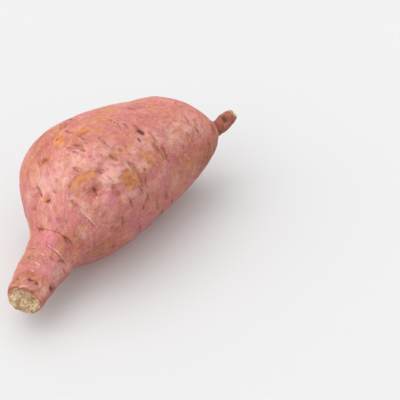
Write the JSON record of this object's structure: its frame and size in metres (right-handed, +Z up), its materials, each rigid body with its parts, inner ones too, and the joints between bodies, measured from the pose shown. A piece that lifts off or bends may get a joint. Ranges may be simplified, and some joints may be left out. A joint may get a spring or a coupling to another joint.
{
  "type": "sweet potato",
  "caption": "Whole raw sweet potato with pink skin: swollen belly, narrow creased neck with a rough cut end, and a thin cut tail, lying on its side.",
  "frame": {"origin": "centre of the bounding box, at the height of the surface that the root lies on", "axes": "+X along the root from the crown to the tail, +Z up as it lies"},
  "size_m": [0.1734, 0.075, 0.0748],
  "materials": {
    "skin": "satin, thin pink skin with brown and orange rubbed marks"
  },
  "bodies": {
    "root": {"sweet_potato": "skin"}
  },
  "joints": []
}
